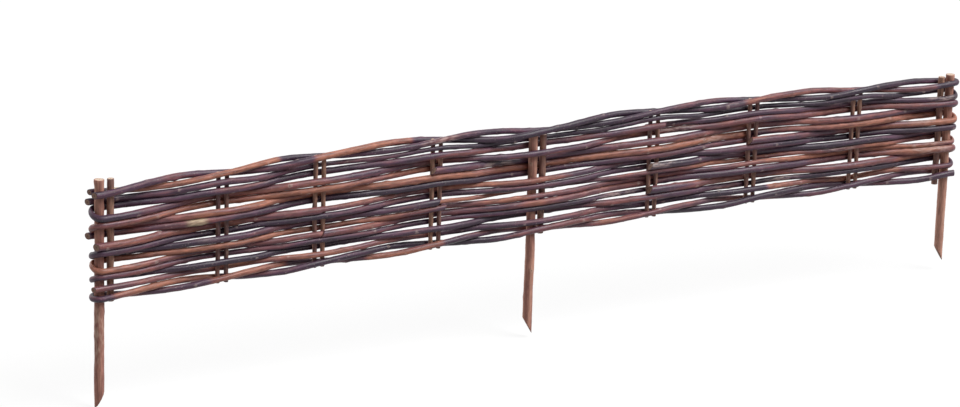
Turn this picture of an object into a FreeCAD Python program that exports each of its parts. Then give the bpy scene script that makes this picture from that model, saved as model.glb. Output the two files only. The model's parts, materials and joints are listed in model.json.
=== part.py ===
"""A woven willow hurdle: a low border panel of willow rods woven round upright sticks.

Three round stakes with slant-cut feet are driven into the ground. Each has a shorter stick beside it,
and pairs of thin sticks stand between the stakes. Willow rods pass in front of one pair and behind
the next. Most rods turn round an end stake and come back one row higher. Rods of one row meet end to
end between the two sticks of a pair, or pass each other there on opposite sides. The lowest and the
highest rod are folded in two round an end stake, and their legs are twisted round each other like rope.

Frame: +X along the panel, +Z up, the face towards -Y. The origin is on the middle stake's axis, at
the ground line, which is the underside of the weave. All sizes are in millimetres.
"""

import FreeCAD
import Part
import math
import os
import random
from collections import namedtuple

Vector = FreeCAD.Vector

# Uprights: where they stand along the panel, and how thick they are
BAY_LENGTH = 146.0  # usual distance from one station to the next
BAY_DRIFT = (5.0, -23.0, 7.0, -15.0, 23.0, -2.0, 9.0, -2.0)  # how far each bay falls from it, by hand
STAKE_DIAMETER = 11.4  # the part that goes into the ground
STAKE_TOP_DIAMETER = 11.0  # from the weave up to the sawn top
STAKE_TOP_CHAMFER = 0.6
GROUND_TAPER = 4.0  # height above the ground over which a stake narrows
POINT_LENGTH = 20.0  # height of the slanting cut at a stake's foot
POINT_LEAD = 1.0  # the foot narrows from this far above the cut
POINT_DIAMETER = 11.0  # what the foot would narrow to without the cut
COMPANION_DIAMETER = 8.0  # the stick beside a stake
COMPANION_SPACING = 13.5  # stake axis to companion axis
STICK_DIAMETER = 5.2  # the thin sticks, which stand in pairs
STICK_SPACING = 10.5  # axis to axis within a pair
STICK_ABOVE = 2.0  # top of a thin stick above the middle of the upper twist
STICK_BELOW = 2.0  # foot of a stick below the rods of the lower twist
LEFT_STAKE_DEPTH = 121.0  # a stake's foot below the ground line
MIDDLE_STAKE_DEPTH = 117.0
RIGHT_STAKE_DEPTH = 109.0
LEFT_STAKE_RISE = 15.5  # a stake's top above the middle of the upper twist
MIDDLE_STAKE_RISE = -1.0  # the twist hides this top
RIGHT_STAKE_RISE = 9.8
LEFT_COMPANION_DROP = 0.5  # a companion's top below the stake's top
MIDDLE_COMPANION_DROP = 3.5
RIGHT_COMPANION_DROP = 1.5

# Rods: thick at the butt, thin at the tip
ROD_BUTT_DIAMETER = 7.7
ROD_SPREAD = 1.3  # a rod's butt is thicker or thinner by up to this much
TWIST_BUTT_DIAMETER = 7.6  # the rods that are folded and twisted
ROD_TAPER = 1.1 / 1000.0  # loss of diameter for each millimetre of length
TWIST_TAPER = 0.5 / 1000.0
ROD_SIDES = 12  # facets round a rod
TURN_STEPS = 6  # facets along the half turn round an end stake
END_OVERHANG = 15.0  # a cut end beyond the end stake's axis
CUT_SLANT = 0.5  # rise of a cut end's slope for each millimetre across it
SPLICE_GAP = 1.0  # between two rods that meet end to end
END_PAST = 9.0  # a rod's end beyond a station where it meets no other

# How tightly it is woven
SEAT_CLEARANCE = 0.2  # rod to upright
ROD_GAP = 0.2  # least gap between rods that cross
LOOSENESS = 0.9  # the most that a gap opens by hand weaving, in the middle of the panel
ARCH = 5.0  # rise of the rows in the middle of the panel
WEAVE_SEED = 11

# The weaving plan. Rows are counted from the lowest, stations from the left.
SPLICES = (3, 6, 5, 2, 3, 3, 5, 2, 6, 6, 3, 3, 5, 2)  # the station where each row's rods meet
LEFT_TURNS = (1, 3, 5, 9, 11)  # rows whose rod turns round the left stake into the row above
RIGHT_TURNS = (0, 2, 4, 6, 8, 10, 12)
CHANGED_OVER = (  # rods that pass behind where their row would pass in front, so two rods lie together
    "left_turned_rod_2",
    "left_turned_rod_5",
    "left_cut_rod_2",
    "left_cut_rod_3",
    "right_turned_rod_2",
    "right_turned_rod_4",
    "right_turned_rod_6",
)

BAYS = [BAY_LENGTH + drift for drift in BAY_DRIFT]
LAST = len(BAYS)
MIDDLE = LAST // 2
STATIONS = range(LAST + 1)
ROWS = len(SPLICES)
FRONT = -1
BACK = 1
UP = Vector(0, 0, 1)

# A stake's companion stands on one side of it, and one side of its foot keeps the full depth.
Stake = namedtuple("Stake", "name station companion_side tip_side rise companion_drop depth")
STAKES = (
    Stake("left", 0, 1, -1, LEFT_STAKE_RISE, LEFT_COMPANION_DROP, LEFT_STAKE_DEPTH),
    Stake("middle", MIDDLE, 1, 1, MIDDLE_STAKE_RISE, MIDDLE_COMPANION_DROP, MIDDLE_STAKE_DEPTH),
    Stake("right", LAST, -1, 1, RIGHT_STAKE_RISE, RIGHT_COMPANION_DROP, RIGHT_STAKE_DEPTH),
)


def station_x(i):
    """X of a station, counted from the middle stake."""
    return sum(BAYS[:i]) - sum(BAYS[:MIDDLE])


def uprights_at(i):
    """The uprights that a rod passes at a station: offset from the station's X, and radius."""
    for stake in STAKES:
        if stake.station == i:
            companion = (stake.companion_side * COMPANION_SPACING, COMPANION_DIAMETER / 2)
            return [(0.0, STAKE_DIAMETER / 2), companion]
    return [(hand * STICK_SPACING / 2, STICK_DIAMETER / 2) for hand in (-1, 1)]


def slope_beside(i, rod_radius):
    """The steepest slope, seen from above, of a rod between a station and its neighbours."""
    reach = [max(radius for _, radius in uprights_at(j)) for j in STATIONS]
    neighbours = [j for j in (i - 1, i + 1) if j in STATIONS]
    seat = rod_radius + SEAT_CLEARANCE
    return max((reach[i] + reach[j] + 2 * seat) / abs(station_x(j) - station_x(i)) for j in neighbours)


def stand_off(i, rod_radius):
    """How far a rod's axis passes in front of or behind the axes of the uprights at a station."""
    slope = slope_beside(i, rod_radius)
    seat = rod_radius + SEAT_CLEARANCE
    return max(
        (radius + seat) * math.hypot(1.0, slope) + slope * abs(offset)
        for offset, radius in uprights_at(i)
    )


def turn_radius(rod_radius):
    """Corner radius of the faceted half turn, so that its facets clear the stake."""
    half_step = math.pi / TURN_STEPS / 2
    return (STAKE_DIAMETER / 2 + rod_radius + SEAT_CLEARANCE) / math.cos(half_step)


def side_of(row, i, changed_over=False):
    """Rows next to each other pass a station on opposite sides, and so do stations along a row."""
    return FRONT if (row + i + changed_over) % 2 == 0 else BACK


def half_row(row, end):
    """The places that a row's rod passes from an end station to the row's splice."""
    step = 1 if end == 0 else -1
    return [(row, i) for i in range(end, SPLICES[row] + step, step)]


def rod_routes():
    """Each rod of the plain rows, with the (row, station) places that it passes from butt to tip."""
    routes = {}
    for label, end, turns in (("left", 0, LEFT_TURNS), ("right", LAST, RIGHT_TURNS)):
        for number, row in enumerate(turns, start=1):
            routes[f"{label}_turned_rod_{number}"] = half_row(row, end)[::-1] + half_row(row + 1, end)
        turned = [row + n for row in turns for n in (0, 1)]
        cut = [row for row in range(ROWS) if row not in turned]
        for number, row in enumerate(cut, start=1):
            routes[f"{label}_cut_rod_{number}"] = half_row(row, end)
    return routes


def rod_radii(name, places):
    """A rod's radius at each of the places that it passes. Its name decides how thick it grew."""
    butt = ROD_BUTT_DIAMETER + ROD_SPREAD * random.Random(name).uniform(-1, 1)
    run = 0.0
    radii = [butt / 2]
    for (_, before), (_, after) in zip(places, places[1:]):
        half_turn_length = math.pi * STAKE_DIAMETER
        run += abs(station_x(after) - station_x(before)) or half_turn_length
        radii.append((butt - ROD_TAPER * run) / 2)
    return radii


def row_radii():
    """The largest rod radius of each row at each station."""
    radii = [[0.0 for _ in STATIONS] for _ in range(ROWS)]
    for name, places in rod_routes().items():
        for (row, i), radius in zip(places, rod_radii(name, places)):
            radii[row][i] = max(radii[row][i], radius)
    return radii


def twist_radius(leg, i, turn):
    """A twisted rod's radius at a station: its first leg runs to the turn, its second comes back."""
    span = station_x(LAST) - station_x(0)
    to_turn = abs(station_x(turn) - station_x(i))
    run = span - to_turn if leg == 0 else span + to_turn
    return (TWIST_BUTT_DIAMETER - TWIST_TAPER * run) / 2


def twist_rise():
    """Half the height between the two legs where they cross, so that they stay a gap apart."""
    thickness = TWIST_BUTT_DIAMETER + ROD_GAP
    width = 2 * min(stand_off(i, TWIST_BUTT_DIAMETER / 2) for i in STATIONS)
    return thickness * width / math.sqrt(width**2 - thickness**2) / 2


def arch(i):
    """Rise of the weave at a station as a share of its rise in the middle, with none at the ends."""
    along = (station_x(i) - station_x(0)) / (station_x(LAST) - station_x(0))
    return 4 * along * (1 - along)


def stack():
    """Heights of the lower twist, of each row and of the upper twist, at every station."""
    chance = random.Random(WEAVE_SEED)
    radii = row_radii()
    twist_half = twist_rise() + TWIST_BUTT_DIAMETER / 2
    lower, rows, upper = [], [[] for _ in range(ROWS)], []
    for i in STATIONS:
        lower.append(ARCH * arch(i) + twist_half)
        z = lower[i] + twist_half
        for row in range(ROWS):
            z += ROD_GAP + LOOSENESS * arch(i) * chance.random() + radii[row][i]
            rows[row].append(z)
            z += radii[row][i]
        upper.append(z + ROD_GAP + twist_half)
    return lower, rows, upper


def section(centre, along, radius, slant):
    """A rod's section: a regular polygon across its run, tilted by the slant at a cut end."""
    normal = Vector(along).normalize()
    top = (UP - normal * UP.dot(normal)).normalize()
    across = normal.cross(top)
    points = []
    for n in range(ROD_SIDES):
        angle = 2 * math.pi * n / ROD_SIDES
        sideways = radius * math.sin(angle)
        rim = top * radius * math.cos(angle) + across * sideways
        points.append(centre + rim + normal * slant * sideways)
    return Part.makePolygon(points + points[:1])


def bent_rod(corners, start_slant=0.0, end_slant=0.0):
    """A tapering rod through corner points, each given with its radius."""
    points = [point for point, _ in corners]
    runs = [(b - a).normalize() for a, b in zip(points, points[1:])]
    slants = [start_slant] + [0.0 for _ in runs]
    slants[-1] = end_slant
    wires = []
    for (point, radius), before, after, slant in zip(corners, runs[:1] + runs, runs + runs[-1:], slants):
        wires.append(section(point, before + after, radius, slant))
    return Part.makeLoft(wires, True, True)


def half_turn(station, start_side, z_from, z_to, radius):
    """Corners of the half turn round an end stake, from one face of the panel to the other."""
    outward = 1 if station == LAST else -1
    reach = turn_radius(radius)
    corners = []
    for n in range(1, TURN_STEPS):
        angle = math.pi * n / TURN_STEPS
        x = station_x(station) + outward * reach * math.sin(angle)
        y = start_side * reach * math.cos(angle)
        corners.append((Vector(x, y, z_from + (z_to - z_from) * n / TURN_STEPS), radius))
    return corners


def beyond_the_stake(corner, outward):
    """The cut end of a rod that runs past an end stake."""
    point, radius = corner
    return point + Vector(outward * END_OVERHANG, 0, 0), radius


def meets_another(name, place):
    """Whether another rod ends at the same place, on the same side of the panel."""
    others = [other for other, places in rod_routes().items() if other != name and place in places]
    return any((other in CHANGED_OVER) == (name in CHANGED_OVER) for other in others)


def tucked_in(corner, neighbour, met):
    """A rod's end at a station: drawn back for a splice, or past the sticks if it meets no other."""
    point, radius = corner
    back = (neighbour[0] - point).normalize()
    return point + back * (SPLICE_GAP / 2 if met else -END_PAST), radius


def woven_rod(name, places, heights):
    """One rod of the plain rows."""
    changed = name in CHANGED_OVER
    corners = []
    for n, ((row, i), radius) in enumerate(zip(places, rod_radii(name, places))):
        came_round = n > 0 and places[n - 1][1] == i
        goes_round = n + 1 < len(places) and places[n + 1][1] == i
        offset = turn_radius(radius) if came_round or goes_round else stand_off(i, radius)
        if came_round:
            last_row = places[n - 1][0]
            start_side = side_of(last_row, i, changed)
            corners += half_turn(i, start_side, heights[last_row][i], heights[row][i], radius)
        corners.append((Vector(station_x(i), side_of(row, i, changed) * offset, heights[row][i]), radius))
    corners[-1] = tucked_in(corners[-1], corners[-2], meets_another(name, places[-1]))
    first = places[0][1]
    if first not in (0, LAST):
        corners[0] = tucked_in(corners[0], corners[1], meets_another(name, places[0]))
        return bent_rod(corners)
    outward = 1 if first == LAST else -1
    return bent_rod([beyond_the_stake(corners[0], outward)] + corners, start_slant=CUT_SLANT)


def twisted_rod(turn, heights):
    """A rod folded round one end stake, its two legs crossing each other in every bay."""
    start = LAST - turn
    outward = 1 if start == LAST else -1
    there = list(STATIONS) if turn == LAST else list(STATIONS)[::-1]
    corners = []
    for leg, order in enumerate((there, there[::-1])):
        for n, i in enumerate(order):
            radius = twist_radius(leg, i, turn)
            offset = turn_radius(radius) if i == turn else stand_off(i, radius)
            here = Vector(station_x(i), side_of(leg, i) * offset, heights[i])
            if n > 0:
                last, last_radius = corners[-1]
                bay = min(i, order[n - 1])
                crossing = (last + here) / 2
                crossing.y = 0
                crossing.z += twist_rise() if (bay + leg) % 2 == 0 else -twist_rise()
                corners.append((crossing, (last_radius + radius) / 2))
            corners.append((here, radius))
        if leg == 0:
            corners += half_turn(turn, side_of(leg, turn), heights[turn], heights[turn], radius)
    ends = [beyond_the_stake(corners[n], outward) for n in (0, -1)]
    return bent_rod([ends[0]] + corners + [ends[1]], CUT_SLANT, CUT_SLANT)


def stake_solid(stake, top):
    """A round stake: thicker in the ground than in the weave, its foot cut on a slant."""
    radius, top_radius = STAKE_DIAMETER / 2, STAKE_TOP_DIAMETER / 2
    outline = [
        Vector(0, 0, -stake.depth),
        Vector(POINT_DIAMETER / 2, 0, -stake.depth),
        Vector(radius, 0, POINT_LENGTH + POINT_LEAD - stake.depth),
        Vector(radius, 0, 0),
        Vector(top_radius, 0, GROUND_TAPER),
        Vector(top_radius, 0, top - STAKE_TOP_CHAMFER),
        Vector(top_radius - STAKE_TOP_CHAMFER, 0, top),
        Vector(0, 0, top),
    ]
    face = Part.Face(Part.makePolygon(outline + outline[:1]))
    shaft = face.revolve(Vector(0, 0, 0), UP, 360)
    slope = POINT_LENGTH / STAKE_DIAMETER
    reach = 2 * STAKE_DIAMETER
    wedge = [
        Vector(stake.tip_side * radius, -reach, -stake.depth),
        Vector(-stake.tip_side * reach, -reach, -stake.depth),
        Vector(-stake.tip_side * reach, -reach, slope * (radius + reach) - stake.depth),
    ]
    waste = Part.Face(Part.makePolygon(wedge + wedge[:1])).extrude(Vector(0, 2 * reach, 0))
    pointed = shaft.cut(waste).Solids[0]
    pointed.translate(Vector(station_x(stake.station), 0, 0))
    return pointed


def stick(x, diameter, foot, top):
    """A plain round stick, sawn square at both ends."""
    return Part.makeCylinder(diameter / 2, top - foot, Vector(x, 0, foot))


def uprights(lower, upper):
    """Every stake, companion and thin stick, by name."""
    feet = [z - TWIST_BUTT_DIAMETER / 2 - STICK_BELOW for z in lower]
    made = {}
    for stake in STAKES:
        i = stake.station
        top = upper[i] + stake.rise
        companion_x = station_x(i) + stake.companion_side * COMPANION_SPACING
        companion_top = top - stake.companion_drop
        made[f"{stake.name}_stake"] = stake_solid(stake, top)
        made[f"{stake.name}_companion"] = stick(companion_x, COMPANION_DIAMETER, feet[i], companion_top)
    paired = [i for i in STATIONS if i not in [stake.station for stake in STAKES]]
    for number, i in enumerate(paired, start=1):
        for label, hand in (("left", -1), ("right", 1)):
            x = station_x(i) + hand * STICK_SPACING / 2
            made[f"pair_{number}_{label}_stick"] = stick(x, STICK_DIAMETER, feet[i], upper[i] + STICK_ABOVE)
    return made


def rods(lower, rows, upper):
    """Every willow rod, by name."""
    made = {"lower_twisted_rod": twisted_rod(0, lower), "upper_twisted_rod": twisted_rod(LAST, upper)}
    for name, places in rod_routes().items():
        made[name] = woven_rod(name, places, rows)
    return made


def main():
    lower, rows, upper = stack()
    pieces = {**uprights(lower, upper), **rods(lower, rows, upper)}
    os.makedirs("parts", exist_ok=True)
    for name, solid in pieces.items():
        solid.exportStep(f"parts/{name}.step")
    print("pieces", len(pieces), "volume cm3", round(sum(s.Volume for s in pieces.values()) / 1000, 1))
    for stake in STAKES:
        top = upper[stake.station] + stake.rise
        print(stake.name, "stake: x", station_x(stake.station), "top", round(top, 1), "foot", -stake.depth)


main()
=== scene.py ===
# %% [markdown]
# # A woven willow hurdle
# A hurdle is a low border panel. Three stakes go into the ground, thin sticks stand between them in
# pairs, and willow rods are woven in front of one pair and behind the next.
# The CAD model says where each rod passes, in straight runs with twelve sides. This lesson grows a
# natural rod along each of them: smoothly bent, a little knotty, and with its own bark.

# %% The frame
import json
import math
import random

import bpy
from mathutils import Matrix, Vector, noise


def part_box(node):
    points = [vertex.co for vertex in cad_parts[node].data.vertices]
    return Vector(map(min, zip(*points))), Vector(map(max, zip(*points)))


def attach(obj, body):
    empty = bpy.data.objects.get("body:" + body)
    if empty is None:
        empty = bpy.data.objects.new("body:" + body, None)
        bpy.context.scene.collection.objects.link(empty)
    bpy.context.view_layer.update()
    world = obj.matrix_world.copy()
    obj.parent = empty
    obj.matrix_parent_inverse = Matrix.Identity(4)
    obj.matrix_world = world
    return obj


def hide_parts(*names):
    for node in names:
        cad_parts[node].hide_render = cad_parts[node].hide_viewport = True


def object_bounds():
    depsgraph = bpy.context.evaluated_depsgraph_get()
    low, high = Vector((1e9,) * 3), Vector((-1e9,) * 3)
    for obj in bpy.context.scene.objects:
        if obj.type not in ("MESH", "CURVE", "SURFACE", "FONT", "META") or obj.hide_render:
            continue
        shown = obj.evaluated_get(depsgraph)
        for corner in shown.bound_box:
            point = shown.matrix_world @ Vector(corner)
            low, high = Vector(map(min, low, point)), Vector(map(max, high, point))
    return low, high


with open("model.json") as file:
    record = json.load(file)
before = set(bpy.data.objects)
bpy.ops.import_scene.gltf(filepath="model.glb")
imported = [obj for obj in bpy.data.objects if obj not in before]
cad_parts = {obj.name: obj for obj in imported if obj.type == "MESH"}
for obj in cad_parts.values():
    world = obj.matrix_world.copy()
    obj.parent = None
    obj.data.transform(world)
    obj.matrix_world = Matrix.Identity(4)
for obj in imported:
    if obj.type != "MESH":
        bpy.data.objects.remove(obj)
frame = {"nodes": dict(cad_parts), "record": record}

MM = 0.001
cad_low, cad_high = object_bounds()
print("CAD box in m:", tuple(cad_low), tuple(cad_high), "nodes:", len(frame["nodes"]))

# %% [markdown]
# ## The camera
# The panel is seen from its left end and a little from above, through a long lens, so its far end is
# only slightly smaller than its near end. A camera could be turned by hand until it looks right. Here
# its three directions are worked out from the angles, because then each angle can be corrected alone.

# %% The camera
PHOTO_WIDTH = 960  # pixels
FOCAL_LENGTH = 3600  # pixels
SENSOR_WIDTH = 36.0  # mm
YAW, PITCH, ROLL = (math.radians(angle) for angle in (30.84, 17.0, 1.79))
CAMERA_PLACE = Vector((-2.137, -3.461, 1.287))

ahead = Vector((math.sin(YAW) * math.cos(PITCH), math.cos(YAW) * math.cos(PITCH), -math.sin(PITCH)))
level = Vector((math.cos(YAW), -math.sin(YAW), 0))
upward = level.cross(ahead)
across = level * math.cos(ROLL) + upward * math.sin(ROLL)
upright = upward * math.cos(ROLL) - level * math.sin(ROLL)
turned = Matrix((across, upright, -ahead)).transposed().to_4x4()

bpy.ops.object.select_all(action="DESELECT")
bpy.ops.object.camera_add()
camera = bpy.context.object
camera.matrix_world = Matrix.Translation(CAMERA_PLACE) @ turned
camera.data.sensor_fit = "HORIZONTAL"
camera.data.sensor_width = SENSOR_WIDTH
camera.data.lens = SENSOR_WIDTH * FOCAL_LENGTH / PHOTO_WIDTH
bpy.context.scene.camera = camera
print("lens", camera.data.lens, "mm")

# %% [markdown]
# ## Colours and nodes
# Colours are easiest to pick as the hex values of a paint chart, while Blender's shaders work in linear
# light. One function turns the first into the second, one empties a node tree, and one adds a node with
# its settings and links, so that a material reads from top to bottom like a recipe.


# %% Helpers for materials
def linear(hex_colour):
    """An sRGB hex colour as linear red, green, blue and alpha."""
    shares = [int(hex_colour[n : n + 2], 16) / 255 for n in (1, 3, 5)]
    return [s / 12.92 if s <= 0.04045 else ((s + 0.055) / 1.055) ** 2.4 for s in shares] + [1.0]


def bare_tree(owner):
    """The emptied node tree of a material or a world."""
    owner.use_nodes = True
    owner.node_tree.nodes.clear()
    return owner.node_tree


def add_node(tree, kind, inputs=(), **settings):
    """Adds a node. A value given for an input is set on it, and another node's output is linked to it."""
    node = tree.nodes.new(kind)
    for setting, value in settings.items():
        setattr(node, setting, value)
    for name, value in dict(inputs).items():
        if isinstance(value, bpy.types.NodeSocket):
            tree.links.new(value, node.inputs[name])
        else:
            node.inputs[name].default_value = value
    return node


WHITE = linear("#ffffff")
print("white in linear light:", WHITE)

# %% [markdown]
# ## The studio
# The panel stands on a white floor in soft light. Most light comes from above and from the right, as if
# through a large window. A weaker one behind keeps the back from going black, and the white room fills
# the shadows. The floor is painted white where the camera looks at it, and still takes some shadow.

# %% The room
ROOM_LIGHT = 0.18

bpy.context.scene.view_settings.view_transform = "Standard"


def seen(tree):
    """1 for light that reaches the camera, straight or by way of gloss or glass, and 0 for the rest."""
    ray = add_node(tree, "ShaderNodeLightPath").outputs
    mirrored = add_node(tree, "ShaderNodeMath", {0: ray["Is Glossy Ray"], 1: ray["Is Transmission Ray"]})
    any_way = {0: ray["Is Camera Ray"], 1: mirrored.outputs[0]}
    return add_node(tree, "ShaderNodeMath", any_way, use_clamp=True).outputs[0]


room = bpy.data.worlds.new("white_room")
bpy.context.scene.world = room
tree = bare_tree(room)
fill = add_node(tree, "ShaderNodeBackground", {"Color": WHITE, "Strength": ROOM_LIGHT})
white = add_node(tree, "ShaderNodeBackground", {"Color": WHITE, "Strength": 1.0})
walls = add_node(tree, "ShaderNodeMixShader", {0: seen(tree), 1: fill.outputs[0], 2: white.outputs[0]})
add_node(tree, "ShaderNodeOutputWorld", {"Surface": walls.outputs[0]})
print("room light:", ROOM_LIGHT)

# %% The floor
FLOOR_SIZE = 24.0
FLOOR_DROP = 0.5 * MM  # below the longest stake
FLOOR_GLOW = 0.86  # share of the floor's colour that is plain white
SEEN_PAPER, LIT_PAPER = "#f8f8f8", "#8c8c8c"  # as the camera sees it, and as it lights the panel

# Matt white paper: it is uncoated, so it mirrors nothing and shows only the panel's soft shadow.
paper = bpy.data.materials.new("white_paper")
tree = bare_tree(paper)
looked_at = seen(tree)
glow = add_node(tree, "ShaderNodeMath", {0: looked_at, 1: FLOOR_GLOW}, operation="MULTIPLY")
tones = {0: looked_at, 6: linear(LIT_PAPER), 7: linear(SEEN_PAPER)}
tone = add_node(tree, "ShaderNodeMix", tones, data_type="RGBA")
matt = add_node(tree, "ShaderNodeBsdfDiffuse", {"Color": tone.outputs[2]})
white = add_node(tree, "ShaderNodeEmission", {"Color": WHITE, "Strength": 1.0})
sheet = add_node(tree, "ShaderNodeMixShader", {0: glow.outputs[0], 1: matt.outputs[0], 2: white.outputs[0]})
add_node(tree, "ShaderNodeOutputMaterial", {"Surface": sheet.outputs[0]})

bpy.ops.object.select_all(action="DESELECT")
bpy.ops.mesh.primitive_plane_add(size=FLOOR_SIZE, location=(0, 0, cad_low.z - FLOOR_DROP))
floor = bpy.context.object
floor.name = "floor"
bpy.ops.object.transform_apply(location=True)
floor.data.materials.append(paper)
print("floor at", round(floor.data.vertices[0].co.z, 4), "m")

# %% The windows
WINDOWS = {  # where the light comes from, how strong it is and how wide it looks
    "window_light": (Vector((0.75, -0.75, 1.25)), 3.3, math.radians(40)),
    "back_light": (Vector((-0.6, 0.9, 0.7)), 1.6, math.radians(60)),
}
for name, (from_where, strength, width) in WINDOWS.items():
    bpy.ops.object.light_add(type="SUN", rotation=from_where.to_track_quat("Z", "Y").to_euler())
    window = bpy.context.object
    window.name = name
    window.data.energy = strength
    window.data.angle = width
    print(name, "strength", strength)

# %% [markdown]
# ## Willow bark
# Willow is woven with its bark on. Fresh bark is smooth and slightly waxy. It dries to a dark purple
# brown, and to orange brown on rods that grew in the sun, often on one stretch of a rod only. The
# material therefore reads four values that each rod carries: how warm its colour is, where a leaf left
# its pale scar beside a dark bud, where the bark is scraped off the wood, and a place on the rod as if
# it were straight, so that streaks run along it.

# %% Patterns of the bark
PATTERNS = {  # length along the stem, width round it, and how much fine detail
    "streak": (18 * MM, 1.2 * MM, 3.0),  # fibres under the bark
    "patch": (60 * MM, 6 * MM, 2.0),  # stretches that dried warmer or cooler
    "speck": (2.2 * MM, 1.3 * MM, 1.0),  # pores, drawn larger than the real 0.5 mm to show
    "scuff": (9 * MM, 2.4 * MM, 4.0),  # soiled and rubbed spots
    "mottle": (110 * MM, 30 * MM, 0.0),  # stretches that were rubbed pale
}
RAGGEDNESS = 0.9  # how far the streaks fray the rim of a scar


def bark_patterns(tree):
    """Noise in the stem's straightened place, drawn out along it, and the stem's frayed scars."""
    place = add_node(tree, "ShaderNodeAttribute", attribute_name="grain").outputs["Vector"]
    scar = add_node(tree, "ShaderNodeAttribute", attribute_name="scar").outputs["Fac"]
    patterns = {}
    for name, (length, width, detail) in PATTERNS.items():
        scale = (1 / length, 1 / width, 1 / width)
        drawn = add_node(tree, "ShaderNodeMapping", {"Vector": place, "Scale": scale}).outputs[0]
        cloud = add_node(tree, "ShaderNodeTexNoise", {"Vector": drawn, "Scale": 1.0, "Detail": detail})
        patterns[name] = cloud.outputs["Fac"]
    frayed = {0: patterns["streak"], 1: RAGGEDNESS, 2: scar}
    patterns["scar"] = add_node(tree, "ShaderNodeMath", frayed, operation="MULTIPLY_ADD").outputs[0]
    return patterns


print("patterns of the bark:", list(PATTERNS))

# %% Marks on the bark
NOISE_SPAN = (0.3, 0.7)  # most values of a noise lie between these


def bark_marks(tree, patterns, speck_share, unevenness, roughness):
    """What the patterns do to the bark. A pattern's values between two limits give two other limits."""
    limits = {  # the pattern, its low and high value, and what these become
        "drift": ("patch", *NOISE_SPAN, -0.3, 0.3),  # warmer or cooler
        "fibre": ("streak", *NOISE_SPAN, 1 - 0.4 * unevenness, 1 + 0.35 * unevenness),  # darker or lighter
        "soil": ("scuff", 0.35, 0.65, 1 - 0.28 * unevenness, 1 + 0.22 * unevenness),  # darker or lighter
        "pore": ("speck", 0.66, 0.74, 0.0, speck_share),  # pale
        "rub_spot": ("scuff", 0.42, 0.62, 0.0, 0.6),  # pale, on rubbed stretches only
        "rub_stretch": ("mottle", 0.66, 0.74, 0.0, 1.0),
        "leaf_scar": ("scar", 0.92, 1.12, 0.0, 0.4),  # pale
        "bud": ("scar", 1.28, 1.44, 0.0, 0.6),  # dark
        "peel": ("scuff", 0.3, 0.55, 0.25, 0.9),  # bare wood, on scraped stretches only
        "dull": ("patch", *NOISE_SPAN, roughness - 0.1, roughness + 0.12),  # rougher or smoother
    }
    marks = {}  # inputs 1 to 4 of a Map Range are from low, from high, to low and to high
    for mark, (pattern, *ends) in limits.items():
        inputs = {"Value": patterns[pattern], **dict(enumerate(ends, start=1))}
        marks[mark] = add_node(tree, "ShaderNodeMapRange", inputs).outputs[0]
    return marks


print("marks lie on", len(PATTERNS), "patterns and on the scars")

# %% Willow bark
BUD_COLOUR, BARE_WOOD_COLOUR = "#33211f", "#d2bd9c"
RIDGE_STRENGTH, RIDGE_HEIGHT = 0.5, 0.35 * MM
BARK_IOR = 1.48


def bark(name, shades, speck_colour, speck_share, unevenness, roughness, sheen):
    """A bark: its shades from cool to warm, its pale pores, and streaks that follow the stem."""
    material = bpy.data.materials.new(name)
    tree = bare_tree(material)
    warmth = add_node(tree, "ShaderNodeAttribute", attribute_name="warmth").outputs["Fac"]
    scraped = add_node(tree, "ShaderNodeAttribute", attribute_name="scraped").outputs["Fac"]
    patterns = bark_patterns(tree)
    marks = bark_marks(tree, patterns, speck_share, unevenness, roughness)

    warm = add_node(tree, "ShaderNodeMath", {0: warmth, 1: marks["drift"]}, use_clamp=True)
    shade = add_node(tree, "ShaderNodeValToRGB", {"Fac": warm.outputs[0]})
    ramp = shade.color_ramp.elements
    while len(ramp) < len(shades):
        ramp.new(0.5)
    for n, hex_colour in enumerate(shades):
        ramp[n].position = n / (len(shades) - 1)
        ramp[n].color = linear(hex_colour)

    pale = marks["leaf_scar"]
    rubs = {0: marks["rub_spot"], 1: marks["rub_stretch"]}
    for spots in (marks["pore"], add_node(tree, "ShaderNodeMath", rubs, operation="MULTIPLY").outputs[0]):
        pale = add_node(tree, "ShaderNodeMath", {0: pale, 1: spots}, operation="MAXIMUM").outputs[0]
    bare = add_node(tree, "ShaderNodeMath", {0: marks["peel"], 1: scraped}, operation="MULTIPLY").outputs[0]

    colour = shade.outputs[0]
    for tint in (marks["fibre"], marks["soil"]):
        layers = {0: 1.0, 6: colour, 7: tint}
        colour = add_node(tree, "ShaderNodeMix", layers, data_type="RGBA", blend_type="MULTIPLY").outputs[2]
    for share, paint in ((pale, speck_colour), (marks["bud"], BUD_COLOUR), (bare, BARE_WOOD_COLOUR)):
        layers = {0: share, 6: colour, 7: linear(paint)}
        colour = add_node(tree, "ShaderNodeMix", layers, data_type="RGBA").outputs[2]

    relief = {"Height": patterns["streak"], "Strength": RIDGE_STRENGTH, "Distance": RIDGE_HEIGHT}
    ridges = add_node(tree, "ShaderNodeBump", relief)
    finish = {
        "Base Color": colour,
        "Roughness": marks["dull"],
        "Normal": ridges.outputs[0],
        "IOR": BARK_IOR,
        "Specular IOR Level": sheen,
    }
    surface = add_node(tree, "ShaderNodeBsdfPrincipled", finish)
    add_node(tree, "ShaderNodeOutputMaterial", {"Surface": surface.outputs[0]})
    return material


print("ridges of a bark:", round(RIDGE_HEIGHT / MM, 2), "mm")

# %% The three barks
# Bark of young willow, grown smooth and dried: a trace of wax gives each rod a dull sheen.
willow_bark = bark(
    "willow_bark",
    ("#2c182d", "#4f3145", "#7c4a4a", "#9f6653"),
    speck_colour="#b8a29a",
    speck_share=0.3,
    unevenness=1.0,
    roughness=0.45,
    sheen=0.45,
)
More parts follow.
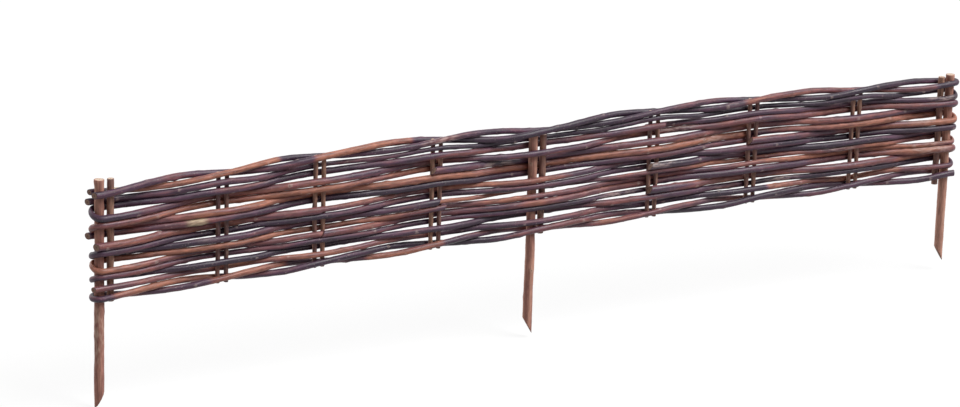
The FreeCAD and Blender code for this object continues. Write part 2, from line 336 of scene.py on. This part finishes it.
# Bark of thin sticks, older and drier: the wax is gone, so it is nearly matt.
stick_bark = bark(
    "dry_stick_bark",
    ("#452f34", "#654848", "#85625a", "#a87f6c"),
    speck_colour="#c4a896",
    speck_share=0.25,
    unevenness=0.8,
    roughness=0.62,
    sheen=0.4,
)
# Bark of the stakes, the driest: matt, paler than the rods' and more even.
stake_bark = bark(
    "dry_stake_bark",
    ("#66443d", "#865a51", "#a67366", "#c08e7c"),
    speck_colour="#ccae9a",
    speck_share=0.25,
    unevenness=0.6,
    roughness=0.66,
    sheen=0.4,
)
print("barks:", willow_bark.name, stick_bark.name, stake_bark.name)

# %% [markdown]
# ## Cut wood
# Where a rod or a stick is cut, the wood shows inside a thin ring of bark, with a soft brown pith in the
# middle. It is pale when fresh, as on the tops of the stakes and sticks, and weathers to brown within a
# season, as the rods' ends have. The stem's straightened place gives the distance from the pith, and so
# the year rings.

# %% Cut wood
YEAR_RING = 1.4 * MM
PITH_RADIUS, PITH_RIM = 0.5 * MM, 0.75 * MM
WOOD_ROUGHNESS = 0.8


def cut_wood(name, early, late, pith):
    """The end grain of a willow stem: year rings of two shades round its pith, rough from the saw."""
    material = bpy.data.materials.new(name)
    tree = bare_tree(material)
    place = add_node(tree, "ShaderNodeAttribute", attribute_name="grain").outputs["Vector"]
    flat = add_node(tree, "ShaderNodeVectorMath", {0: place, 1: (0, 1, 1)}, operation="MULTIPLY")
    reach = add_node(tree, "ShaderNodeVectorMath", {0: flat.outputs[0]}, operation="LENGTH").outputs["Value"]
    turns = add_node(tree, "ShaderNodeMath", {0: reach, 1: 2 * math.pi / YEAR_RING}, operation="MULTIPLY")
    wave = add_node(tree, "ShaderNodeMath", {0: turns.outputs[0]}, operation="SINE")
    bands = {"Value": wave.outputs[0], 1: -1.0, 2: 1.0, 3: 0.0, 4: 1.0}
    rings = add_node(tree, "ShaderNodeMapRange", bands).outputs[0]
    disc = {"Value": reach, 1: PITH_RADIUS, 2: PITH_RIM, 3: 1.0, 4: 0.0}
    core = add_node(tree, "ShaderNodeMapRange", disc).outputs[0]
    colour = linear(early)
    for share, paint in ((rings, late), (core, pith)):
        layers = {0: share, 6: colour, 7: linear(paint)}
        colour = add_node(tree, "ShaderNodeMix", layers, data_type="RGBA").outputs[2]
    finish = {"Base Color": colour, "Roughness": WOOD_ROUGHNESS}
    surface = add_node(tree, "ShaderNodeBsdfPrincipled", finish)
    add_node(tree, "ShaderNodeOutputMaterial", {"Surface": surface.outputs[0]})
    return material


# Willow sawn across and left rough: no sheen, and the year rings show as faint bands.
weathered_wood = cut_wood("weathered_sawn_willow", "#7d6154", "#927362", "#563d33")
pale_wood = cut_wood("pale_sawn_willow", "#c2a892", "#d6c0ae", "#8c6b54")
print("cut ends:", weathered_wood.name, pale_wood.name)

# %% [markdown]
# ## Growing a stem
# Rods and sticks are both grown stems: a line, a thickness that changes along it, buds, and a cut at
# each end. A cylinder bent by hand would do for one, but there are thirty-six. So a path is added, given
# the stem's points, and thickened with a bevel, which turns into a mesh ring by ring. Because the rings
# come in order, buds and bark values can then be put at their place along the stem.

# %% A thick line
BEVEL_STEPS = 5
SIDES = 4 + 2 * BEVEL_STEPS  # corners of each ring


def thick_line(name, points, radii, twist):
    """A path through the points, thickened to its radii and made a mesh."""
    bpy.ops.object.select_all(action="DESELECT")
    bpy.ops.curve.primitive_nurbs_path_add()
    stem = bpy.context.object
    stem.name = name
    curve = stem.data
    curve.splines.clear()
    spline = curve.splines.new("POLY")
    spline.points.add(len(points) - 1)
    for knot, point, radius in zip(spline.points, points, radii):
        knot.co = (*point, 1)
        knot.radius = radius / MM
    curve.dimensions = "3D"
    curve.fill_mode = "FULL"
    curve.twist_mode = twist
    curve.bevel_depth = MM
    curve.bevel_resolution = BEVEL_STEPS
    bpy.ops.object.convert(target="MESH")
    return bpy.context.object


print("corners to a ring:", SIDES)

# %% Buds and bark values
BARK_VALUES = {"warmth": "FLOAT", "scar": "FLOAT", "scraped": "FLOAT", "grain": "FLOAT_VECTOR"}
BUD_HEIGHT = (0.4 * MM, 1.0 * MM)  # a small bud leaves a fainter mark
BUD_RISE = (0.5, 1.0, 0.5)  # its height on the ring below it, its own and the one above
BUD_MARKS = (0.7, 1.0, 0.15)  # the leaf scar below a bud, the bud, and the bark above it
BUD_SPREAD = (1.0, 0.67, 0.34)  # what is left of both on its own corner, the next and the one after


def mark_bark(stem, points, warmths, scrapes, buds, offset):
    """Raises the buds, and gives each corner its warmth, its marks and its straightened place."""
    mesh = stem.data
    for name, kind in BARK_VALUES.items():
        mesh.attributes.new(name, kind, "POINT")
    warmth, scar, scraped, grain = (mesh.attributes[name].data for name in BARK_VALUES)
    run = 0.0
    for ring, middle in enumerate(points):
        run += (middle - points[ring - 1]).length if ring else 0.0
        for corner in range(SIDES):
            n = ring * SIDES + corner
            outward = mesh.vertices[n].co - middle
            angle = 2 * math.pi * corner / SIDES
            place = (run + offset, outward.length * math.cos(angle), outward.length * math.sin(angle))
            grain[n].vector = place
            warmth[n].value = warmths[ring]
            scraped[n].value = scrapes[ring]
            scar[n].value = 0.0
            for bud_ring, bud_corner, height in buds:
                along = ring - bud_ring + 1
                around = abs((corner - bud_corner + SIDES // 2) % SIDES - SIDES // 2)
                if 0 <= along < len(BUD_RISE) and around < len(BUD_SPREAD):
                    spread = BUD_SPREAD[around]
                    mesh.vertices[n].co += outward.normalized() * height * spread * BUD_RISE[along]
                    scar[n].value = spread * BUD_MARKS[along] * height / BUD_HEIGHT[1]


print("a bud's height in mm:", [round(height / MM, 1) for height in BUD_HEIGHT])

# %% Cut ends
BARK_THICKNESS = 0.5 * MM
RIM_WEAR, RIM_STEPS = 0.3 * MM, 2
QUAD = 4  # corners of a face along a stem. Only a cut has more.
END_WOOD = 1  # the material slot after the bark's


def cut_ends(stem, bark_material, wood):
    """Closes the ends, wears their rim, and gives them their ring of bark and their cut wood."""
    stem.data.materials.append(bark_material)
    stem.data.materials.append(wood)
    bpy.ops.object.mode_set(mode="EDIT")
    bpy.ops.mesh.select_all(action="SELECT")
    bpy.ops.mesh.fill_holes(sides=SIDES)
    bpy.ops.mesh.select_all(action="SELECT")
    bpy.ops.mesh.normals_make_consistent(inside=False)
    bpy.ops.mesh.select_mode(type="FACE")
    bpy.ops.mesh.select_all(action="DESELECT")
    bpy.ops.mesh.select_face_by_sides(number=QUAD, type="GREATER")
    bpy.ops.mesh.region_to_loop()
    bpy.ops.mesh.bevel(offset=RIM_WEAR, segments=RIM_STEPS, affect="EDGES")
    bpy.ops.mesh.select_mode(type="FACE")
    bpy.ops.mesh.select_all(action="DESELECT")
    bpy.ops.mesh.select_face_by_sides(number=QUAD, type="GREATER")
    bpy.ops.mesh.inset(thickness=BARK_THICKNESS, depth=0)
    stem.active_material_index = END_WOOD
    bpy.ops.object.material_slot_assign()
    bpy.ops.object.mode_set(mode="OBJECT")


print("ring of bark round a cut end:", round(BARK_THICKNESS / MM, 1), "mm")

# %% Lumps and place
LUMP_SIZE, LUMP_HEIGHT = 9 * MM, 0.5 * MM
SHARP_EDGE = math.radians(40)
slot_of = {part["node"]: part["material_slot"] for part in frame["record"]["subparts"]}

lumps = bpy.data.textures.new("bark_lumps", "CLOUDS")
lumps.noise_scale = LUMP_SIZE
lumps.noise_depth = 1


def weathered(stem):
    """Adds the small lumps of a grown stem, smooth shading, and keeps the stem inside the panel's box."""
    modifier = stem.modifiers.new("lumps", "DISPLACE")
    modifier.texture = lumps
    modifier.texture_coords = "LOCAL"
    modifier.strength = LUMP_HEIGHT
    bpy.ops.object.modifier_apply(modifier=modifier.name)
    for vertex in stem.data.vertices:
        vertex.co = [min(max(c, low), high) for c, low, high in zip(vertex.co, cad_low, cad_high)]
    bpy.ops.object.shade_smooth_by_angle(angle=SHARP_EDGE)
    stem.data.update()


def settle(stem, node):
    """Puts a finished stem in the place of its CAD node."""
    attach(stem, "root")
    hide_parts(node)


print("material slots:", sorted(set(slot_of.values())))

# %% [markdown]
# ## Reading the weave
# The CAD rods already pass each station on the right side and at the right height. A station is a stake
# or a pair of sticks. At a station a rod's section is a ring of corners at nearly the same X, so the
# ring's box gives the rod's middle and its thickness there. The numbers could be typed again, but read
# from the frame they always agree with it.

# %% The stations
STATION_UPRIGHTS = (
    ("left_stake", "left_stake"),
    ("pair_1_left_stick", "pair_1_right_stick"),
    ("pair_2_left_stick", "pair_2_right_stick"),
    ("pair_3_left_stick", "pair_3_right_stick"),
    ("middle_stake", "middle_stake"),
    ("pair_4_left_stick", "pair_4_right_stick"),
    ("pair_5_left_stick", "pair_5_right_stick"),
    ("pair_6_left_stick", "pair_6_right_stick"),
    ("right_stake", "right_stake"),
)
station_x = [(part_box(first)[0].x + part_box(last)[1].x) / 2 for first, last in STATION_UPRIGHTS]
LAST = len(station_x) - 1
print("stations at X in mm:", [round(x / MM) for x in station_x])

# %% Reading the weave
FRONT, BACK = -1, 1
SECTION_REACH = 1.5 * MM  # how far a section's corners stray along X
END_PAST = 9 * MM  # a rod's end beyond a station where it meets no other
SORTED_TO = 4  # decimals of a metre, so that runs at one height keep their order
rod_names = [node for node in sorted(frame["nodes"]) if "_rod" in node]


def section(corners, x, side):
    """Middle and radius of a rod where it passes X on one side of the panel, if it does."""
    ring = [c for c in corners if abs(c.x - x) < SECTION_REACH and c.y * side > 0]
    if not ring:
        return None
    low = Vector([min(c[n] for c in ring) for n in range(3)])
    high = Vector([max(c[n] for c in ring) for n in range(3)])
    return Vector((x, (low.y + high.y) / 2, (low.z + high.z) / 2)), (high.z - low.z) / 2


def runs_of(node):
    """A rod's one or two runs along the panel: the leg, and a station, middle and radius at each stop."""
    corners = [v.co for v in frame["nodes"][node].data.vertices]
    runs = []
    for leg, first_side in enumerate((FRONT, BACK)):
        stops = []
        for i, x in enumerate(station_x):
            side = first_side if i % 2 == 0 else -first_side
            sections = [section(corners, x + past, side) for past in (0, END_PAST, -END_PAST)]
            found = [middle_and_radius for middle_and_radius in sections if middle_and_radius]
            if found:
                stops.append((i, *found[0]))
        if stops:
            runs.append((leg, stops))
    return sorted(runs, key=lambda run: round(run[1][0][1].z, SORTED_TO))


weave = {node: runs_of(node) for node in rod_names}
for node, runs in weave.items():
    print(node, [(stops[0][0], stops[-1][0], round(stops[0][2] / MM, 1)) for _, stops in runs])

# %% [markdown]
# ## Letting the rods slip
# At a station, a rod lies free above and below wherever its neighbours pass on the other side. So it
# slips a little up or down, together with the rods that lie against it, and that is what makes the slits
# of a hand-woven panel uneven. The maker beats the rods down from behind, so most rods at the back sit
# lower than the CAD has them, and most rods at the front are squeezed up. Each station and side is
# settled from the lowest rod up, then from the highest rod down, so that no rod is pushed into another.

# %% Rods that pass a station
SAME_LAYER = 1 * MM

passing = {}
for node, runs in weave.items():
    for leg, stops in runs:
        for i, middle, radius in stops:
            passing.setdefault((i, middle.y > 0), []).append((middle.z, radius, (node, leg, i)))


def layers_of(rods):
    """The rods that pass one place, from the lowest up. Rods that meet end to end share a layer."""
    layers = []
    for z, radius, key in sorted(rods):
        if layers and z - layers[-1][0] < SAME_LAYER:
            height, thickest, keys = layers[-1]
            layers[-1] = (height, max(radius, thickest), keys + [key])
        else:
            layers.append((z, radius, [key]))
    return layers


print("places where rods pass a station:", len(passing))

# %% Letting the rods slip
SLIP, OWN_SLIP, END_SLIP = 1.4 * MM, 0.6 * MM, 0.5 * MM
SQUEEZE, END_SQUEEZE = 1.4 * MM, 0.6 * MM  # front rods up, back rods down
SINK, ROPE_NEAR = 2.0 * MM, 14 * MM  # the rows beside a twisted rod lean on it
LEAST_GAP, TOGETHER = 0.2 * MM, 2 * MM


def loose_heights(layers, reach, squeeze, sink, chance):
    """Where the layers of one place would slip to if they could pass through each other."""
    ropes = layers[0][0], layers[-1][0]
    heights, shared, top_before = [], 0.0, -math.inf
    for z, radius, _ in layers:
        if z - radius - top_before > TOGETHER:
            shared = reach * chance.uniform(-1, 1)
        top_before = z + radius
        moved = squeeze + shared + min(OWN_SLIP, reach) * chance.uniform(-1, 1)
        for rope in ropes:
            if z == rope:
                moved = squeeze
            elif abs(rope - z) < ROPE_NEAR:
                moved += math.copysign(sink, rope - z)
        heights.append(z + moved)
    return heights


def press_apart(layers, heights):
    """Moves layers that would overlap apart, from the lowest up and then from the highest down."""
    for order in (range(1, len(layers) - 1), range(len(layers) - 2, 0, -1)):
        for n in order:
            beside = n - order.step
            apart = layers[n][1] + layers[beside][1] + LEAST_GAP
            if order.step > 0:
                heights[n] = max(heights[n], heights[beside] + apart)
            else:
                heights[n] = min(heights[n], heights[beside] - apart)


slips = {}
for place in sorted(passing):
    station, behind = place
    at_end = station in (0, LAST)
    reach, squeeze, sink = (END_SLIP, END_SQUEEZE, 0.0) if at_end else (SLIP, SQUEEZE, SINK)
    layers = layers_of(passing[place])
    heights = loose_heights(layers, reach, -squeeze if behind else squeeze, sink, random.Random(str(place)))
    press_apart(layers, heights)
    for (z, _, keys), height in zip(layers, heights):
        slips.update({key: height - z for key in keys})
print("largest slip in mm:", round(max(map(abs, slips.values())) / MM, 2))

# %% [markdown]
# ## Bending a rod
# Between two stations a rod swings from one side of the panel to the other like half a wave, and at an
# end stake it goes round in a half circle. Straight runs would look like wire, so the line is drawn with
# a cosine. The two legs of a twisted rod also rise over and dip under each other where they cross, just
# far enough to touch.

# %% Bays and turns
STEP = 3 * MM  # from ring to ring
TURN_FINENESS = 1.5  # rings lie this much closer on a turn


def swing(start, end, share):
    """From start to end with no jerk at either."""
    return start + (end - start) * (1 - math.cos(math.pi * share)) / 2


def slip_share(share):
    """How much of a station's slip is left at this share of the way to the next one."""
    return math.cos(math.pi * share) ** 2 if share < 0.5 else 0.0


def bay_points(start, end, rise):
    """Points of a rod across one bay, without the last one."""
    (_, a, a_radius, a_slip), (_, b, b_radius, b_slip) = start, end
    count = round((b - a).length / STEP)
    points = []
    for n in range(count):
        share = n / count
        z = swing(a.z, b.z, share) + rise * math.sin(math.pi * share)
        z += a_slip * slip_share(share) + b_slip * slip_share(1 - share)
        place = Vector((a.x + (b.x - a.x) * share, swing(a.y, b.y, share), z))
        points.append((place, a_radius + (b_radius - a_radius) * share))
    return points


def turn_points(start, end):
    """Points of the half circle round an end stake, without the last one."""
    (i, a, a_radius, a_slip), (_, b, b_radius, b_slip) = start, end
    outward = 1 if i == LAST else -1
    reach = (abs(a.y) + abs(b.y)) / 2
    count = round(TURN_FINENESS * math.pi * reach / STEP)
    points = []
    for n in range(count):
        angle = math.pi * n / count
        z = swing(a.z + a_slip, b.z + b_slip, n / count)
        place = Vector((a.x + outward * reach * math.sin(angle), a.y * math.cos(angle), z))
        points.append((place, a_radius + (b_radius - a_radius) * n / count))
    return points


print("half of a slip is left at a quarter of a bay:", round(slip_share(0.25), 3))

# %% Ends of a rod
CUT_OVERHANG, OVERHANG_SPREAD = 11.5 * MM, 4 * MM  # the longest cut end, and how much shorter some are
SPLICE_GAP = 1.0 * MM


def past_the_stake(line, overhang):
    """Adds the cut end that runs past an end stake to the end of a line."""
    place, radius = line[-1]
    outward = 1 if place.x > 0 else -1
    count = round(overhang / STEP)
    steps = [Vector((outward * overhang * n / count, 0, 0)) for n in range(1, count + 1)]
    return line + [(place + step, radius) for step in steps]


def spliced(line):
    """Draws the end of a line back by half the gap of a splice."""
    (before, _), (place, radius) = line[-2:]
    return line[:-1] + [(place + (before - place).normalized() * SPLICE_GAP / 2, radius)]


print("cut ends run", round(CUT_OVERHANG / MM, 1), "mm past a stake at most")

# %% A rod's line
GIRTH = 1.05  # a grown rod's thickness against its twelve-sided section


def turning_station(node):
    """The end station that a rod turns round. A cut rod has its cut end there."""
    return LAST if node.startswith(("right", "upper")) else 0


def rod_line(node, chance):
    """A rod's points from end to end, each with its radius, and which of its ends run past a stake."""
    turn = turning_station(node)
    twisted = "twisted" in node
    runs = weave[node]
    thickest = max(radius for _, stops in runs for _, _, radius in stops)
    rise = thickest * GIRTH + LEAST_GAP if twisted else 0.0
    line = []
    before = None
    for number, (leg, stops) in enumerate(runs):
        stops = sorted(stops, key=lambda stop: abs(stop[0] - turn), reverse=number == 0)
        held = [(i, middle, radius, slips[node, leg, i]) for i, middle, radius in stops]
        if before:
            line += turn_points(before, held[0])
        for start, end in zip(held, held[1:]):
            over = (min(start[0], end[0]) + leg) % 2 == 0
            line += bay_points(start, end, rise if over else -rise)
        before = held[-1]
    _, middle, radius, slip = before
    line.append((middle + Vector((0, 0, slip)), radius))
    past_ends = [twisted, twisted or "cut" in node]
    for past in past_ends:
        line = line[::-1]
        if past:
            line = past_the_stake(line, CUT_OVERHANG - chance.uniform(0, OVERHANG_SPREAD))
        else:
            line = spliced(line)
    return line, past_ends


sample_line, _ = rod_line(rod_names[0], random.Random(0))
print(rod_names[0], "has", len(sample_line), "rings")

# %% [markdown]
# ## Round the end stake
# A rod that turns round an end stake is twisted as it is bent, so that its fibres part and it doesn't
# snap. That leaves it flatter there, and close to the stake. A lattice could press it flat. Here each
# corner beyond the stake's axis is drawn towards the stake, most at the outermost point of the turn.

# %% Round the end stake
STAKE_HOLD = 5.7 * MM  # the stake's radius and a hair of room
TURN_FLATNESS = 0.72


def hug_stake(stem, node):
    """Flattens a rod where it goes round its end stake."""
    turn = turning_station(node)
    outward = 1 if turn == LAST else -1
    for vertex in stem.data.vertices:
        beyond = (vertex.co.x - station_x[turn]) * outward
        if beyond > 0:
            reach = math.hypot(beyond, vertex.co.y)
            pressed = 1 - (1 - TURN_FLATNESS) * beyond / reach
            closer = (STAKE_HOLD + (reach - STAKE_HOLD) * pressed) / reach
            vertex.co.x = station_x[turn] + outward * beyond * closer
            vertex.co.y *= closer


print("turns flattened to", TURN_FLATNESS, "of their thickness")

# %% [markdown]
# ## The rods
# A rod is never quite straight or quite round. It kinks a little at each bud, swells there, and wavers
# in between, and its colour drifts along its length. All of that comes from smooth noise and from a
# random generator that starts from the rod's own name, so each rod is different and stays the same.
# A few stretches that lay in the sun, and two where the bark is scraped off, are listed one by one,
# because they catch the eye.

# %% Along a rod
LANES = (1, 100)  # each stem draws one, and has the noise and the bark of that lane
LANE_SPACING = (7.3, 3.1)
WARMTH_DRIFT, WARMTH_LENGTH = 0.6, 220 * MM
SUNNED = {  # from where to where, as shares of the rod's length, and how warm
    "upper_twisted_rod": ((0.113, 0.172, 0.9), (0.36, 0.485, 0.6), (0.902, 0.982, 0.9)),
    "lower_twisted_rod": ((0.43, 0.49, 0.9), (0.56, 0.605, 0.9), (0.645, 0.69, 0.8)),
    "right_turned_rod_1": ((0.43, 0.63, 0.9),),
}
SCRAPED = {"left_cut_rod_3": (0.842, 0.874), "upper_twisted_rod": (0.983, 0.9915)}
UNSCRAPED = (0, 0)
FADE = 8 * MM


def waver(distance, length, lane):
    """Smooth noise from -1 to 1 along a stem. Each lane is a noise of its own."""
    return noise.noise(Vector((distance / length, *(lane * spacing for spacing in LANE_SPACING))))


def within(start, end, run, length):
    """How far a place on a rod lies within a stretch of it: 0 outside, 1 well inside."""
    depth = min(run - start * length, end * length - run)
    return min(max(depth / FADE, 0.0), 1.0)


def warmth_at(node, warmth, run, length, lane):
    """How warm the bark's colour is at one place on a stem."""
    warm = warmth + WARMTH_DRIFT * waver(run, WARMTH_LENGTH, lane)
    for start, end, sunned in SUNNED.get(node, ()):
        warm += (sunned - warm) * within(start, end, run, length)
    return warm


print("rods with sunned or scraped stretches:", sorted({*SUNNED, *SCRAPED}))

# %% Buds and slanting cuts
BUD_SPACING = (26 * MM, 50 * MM)
BUD_TURN, BUD_TURN_SPREAD = 5, 3  # corners from one bud to the next
CUT_SLOPE, SPLICE_SLOPE = 0.45, 0.7


def bud_places(runs, chance):
    """The buds along a stem: the ring of each, the corner it points from, and its height."""
    buds = []
    run, corner = chance.uniform(*BUD_SPACING), chance.randrange(SIDES)
    while run < runs[-1]:
        ring = min(range(len(runs)), key=lambda n: abs(runs[n] - run))
        buds.append((ring, corner, chance.uniform(*BUD_HEIGHT)))
        run += chance.uniform(*BUD_SPACING)
        corner = (corner + BUD_TURN + chance.randrange(BUD_TURN_SPREAD)) % SIDES
    return buds


def slant_ends(stem, points, past_ends, sideways, upwards):
    """Slants a rod's ends: across the panel past a stake, and upwards where it meets another rod."""
    for end, inner, past in ((0, 1, past_ends[0]), (-1, -2, past_ends[1])):
        away = (points[end] - points[inner]).normalized()
        slant = sideways * CUT_SLOPE if past else upwards * math.copysign(SPLICE_SLOPE, away.x)
        first = 0 if end == 0 else (len(points) - 1) * SIDES
        for vertex in stem.data.vertices[first : first + SIDES]:
            vertex.co += away * (vertex.co - points[end]).dot(slant)


print("from bud to bud in mm:", [round(spacing / MM) for spacing in BUD_SPACING])

# %% One stem
WOBBLE, WOBBLE_LENGTH = 0.5 * MM, 40 * MM
GIRTH_CHANGE, GIRTH_LENGTH = 0.06, 35 * MM
X, Y, Z = Vector((1, 0, 0)), Vector((0, 1, 0)), Vector((0, 0, 1))


def grow(node, line, bark_material, warmth, chance, past_ends=None):
    """One stem along a line, in the place of its CAD node. Only a lying rod has ends past a stake."""
    lying = past_ends is not None
    girth, twist, sideways, other = (GIRTH, "Z_UP", Y, Z) if lying else (1.0, "MINIMUM", X, Y)
    lane = chance.uniform(*LANES)
    places = [place for place, _ in line]
    runs = [0.0]
    for before, after in zip(places, places[1:]):
        runs.append(runs[-1] + (after - before).length)
    points, radii, warmths, scrapes = [], [], [], []
    for (place, radius), run in zip(line, runs):
        stray = sideways * waver(run, WOBBLE_LENGTH, lane) + other * waver(run, WOBBLE_LENGTH, lane + 1)
        points.append(place + stray * WOBBLE)
        radii.append(radius * (girth + GIRTH_CHANGE * waver(run, GIRTH_LENGTH, lane + 2)))
        warmths.append(warmth_at(node, warmth, run, runs[-1], lane + 3))
        scrapes.append(within(*SCRAPED.get(node, UNSCRAPED), run, runs[-1]))
    stem = thick_line(node + "_grown", points, radii, twist)
    mark_bark(stem, points, warmths, scrapes, bud_places(runs, chance), lane)
    if "turned" in node or "twisted" in node:
        hug_stake(stem, node)
    if lying:
        slant_ends(stem, points, past_ends, sideways, other)
    cut_ends(stem, bark_material, weathered_wood if lying else pale_wood)
    weathered(stem)
    settle(stem, node)
    return stem


print("a stem strays by up to", round(WOBBLE / MM, 1), "mm")

# %% The rods
ROD_WARMTH = {"willow_bark_dark": (0.05, 0.5), "willow_bark_brown": (0.65, 0.95)}

rod_stems = []
for node in rod_names:
    chance = random.Random(node)
    line, past_ends = rod_line(node, chance)
    warmth = chance.uniform(*ROD_WARMTH[slot_of[node]])
    rod_stems.append(grow(node, line, willow_bark, warmth, chance, past_ends))
print("rods:", len(rod_stems), "faces:", sum(len(stem.data.polygons) for stem in rod_stems))

# %% [markdown]
# ## Sticks and stakes
# The uprights are older and drier than the rods, and straight. They are grown in the same way along an
# upright line. A stake is thicker than a rod, most of all where it goes into the ground, and its foot is
# cut on a slant so that it drives in. A bisect is the saw for that: it cuts the mesh on a plane and fills
# the cut. The cut has been in the soil, so its wood is brown.

# %% Upright lines
STAKE_WAIST = 5.5 / 5.7  # radius above the ground against radius in it
WAIST_FROM, WAIST_TO = 0.0, 4 * MM
TIP_TOWARDS = {"left_stake": 180, "middle_stake": -20, "right_stake": -20}  # degrees from +X towards +Y
COMPANION_FOOT = {"right_companion": 8 * MM}  # reaches this much further down


def upright_line(node):
    """Points up the middle of an upright, each with its radius."""
    low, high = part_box(node)
    foot = low.z - COMPANION_FOOT.get(node, 0.0)
    count = round((high.z - foot) / STEP)
    line = []
    for n in range(count + 1):
        z = foot + (high.z - foot) * n / count
        radius = (high.x - low.x) / 2
        if node in TIP_TOWARDS:
            share = min(max((z - WAIST_FROM) / (WAIST_TO - WAIST_FROM), 0), 1)
            radius *= 1 + (STAKE_WAIST - 1) * share
        line.append((Vector(((low.x + high.x) / 2, 0, z)), radius))
    return line


print("rings of a stake:", len(upright_line("left_stake")))

# %% The stakes' feet
POINT_LENGTH = 20 * MM
FACING = 0.98  # cosine between a face's direction and the cut's
FOOT_WOOD = 2  # the material slot after the end wood's


def cut_foot(stake, node):
    """Cuts a stake's foot on a slant."""
    low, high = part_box(node)
    angle = math.radians(TIP_TOWARDS[node])
    towards = Vector((math.cos(angle), math.sin(angle), 0))
    thickness = high.x - low.x
    tip = Vector(((low.x + high.x) / 2, 0, low.z)) + towards * thickness / 2
    waste = (-towards * POINT_LENGTH - Vector((0, 0, thickness))).normalized()
    stake.data.materials.append(weathered_wood)
    bpy.ops.object.mode_set(mode="EDIT")
    bpy.ops.mesh.select_all(action="SELECT")
    bpy.ops.mesh.bisect(plane_co=tip, plane_no=waste, use_fill=True, clear_outer=True)
    bpy.ops.object.mode_set(mode="OBJECT")
    for face in stake.data.polygons:
        if face.normal.dot(waste) > FACING and len(face.vertices) > QUAD:
            face.material_index = FOOT_WOOD


print("length of a stake's slant in mm:", round(POINT_LENGTH / MM))

# %% Sticks and stakes
STICK_WARMTH = (0.35, 0.85)
KNOWN_WARMTH = {
    "left_stake": 0.55,
    "middle_stake": 0.9,
    "right_stake": 0.75,
    "left_companion": 0.95,
    "right_companion": 0.95,
}

upright_stems = []
for node in sorted(set(frame["nodes"]) - set(rod_names)):
    chance = random.Random(node)
    drawn_warmth = chance.uniform(*STICK_WARMTH)
    warmth = KNOWN_WARMTH.get(node, drawn_warmth)
    dry_bark = stake_bark if node in TIP_TOWARDS else stick_bark
    stem = grow(node, upright_line(node), dry_bark, warmth, chance)
    if node in TIP_TOWARDS:
        cut_foot(stem, node)
    upright_stems.append(stem)
print("uprights:", len(upright_stems), "faces:", sum(len(stem.data.polygons) for stem in upright_stems))

# %% [markdown]
# ## Finishing
# The grown panel has to keep the size of the CAD model. Here the scene is brought up to date.

# %% Finishing
bpy.context.view_layer.update()
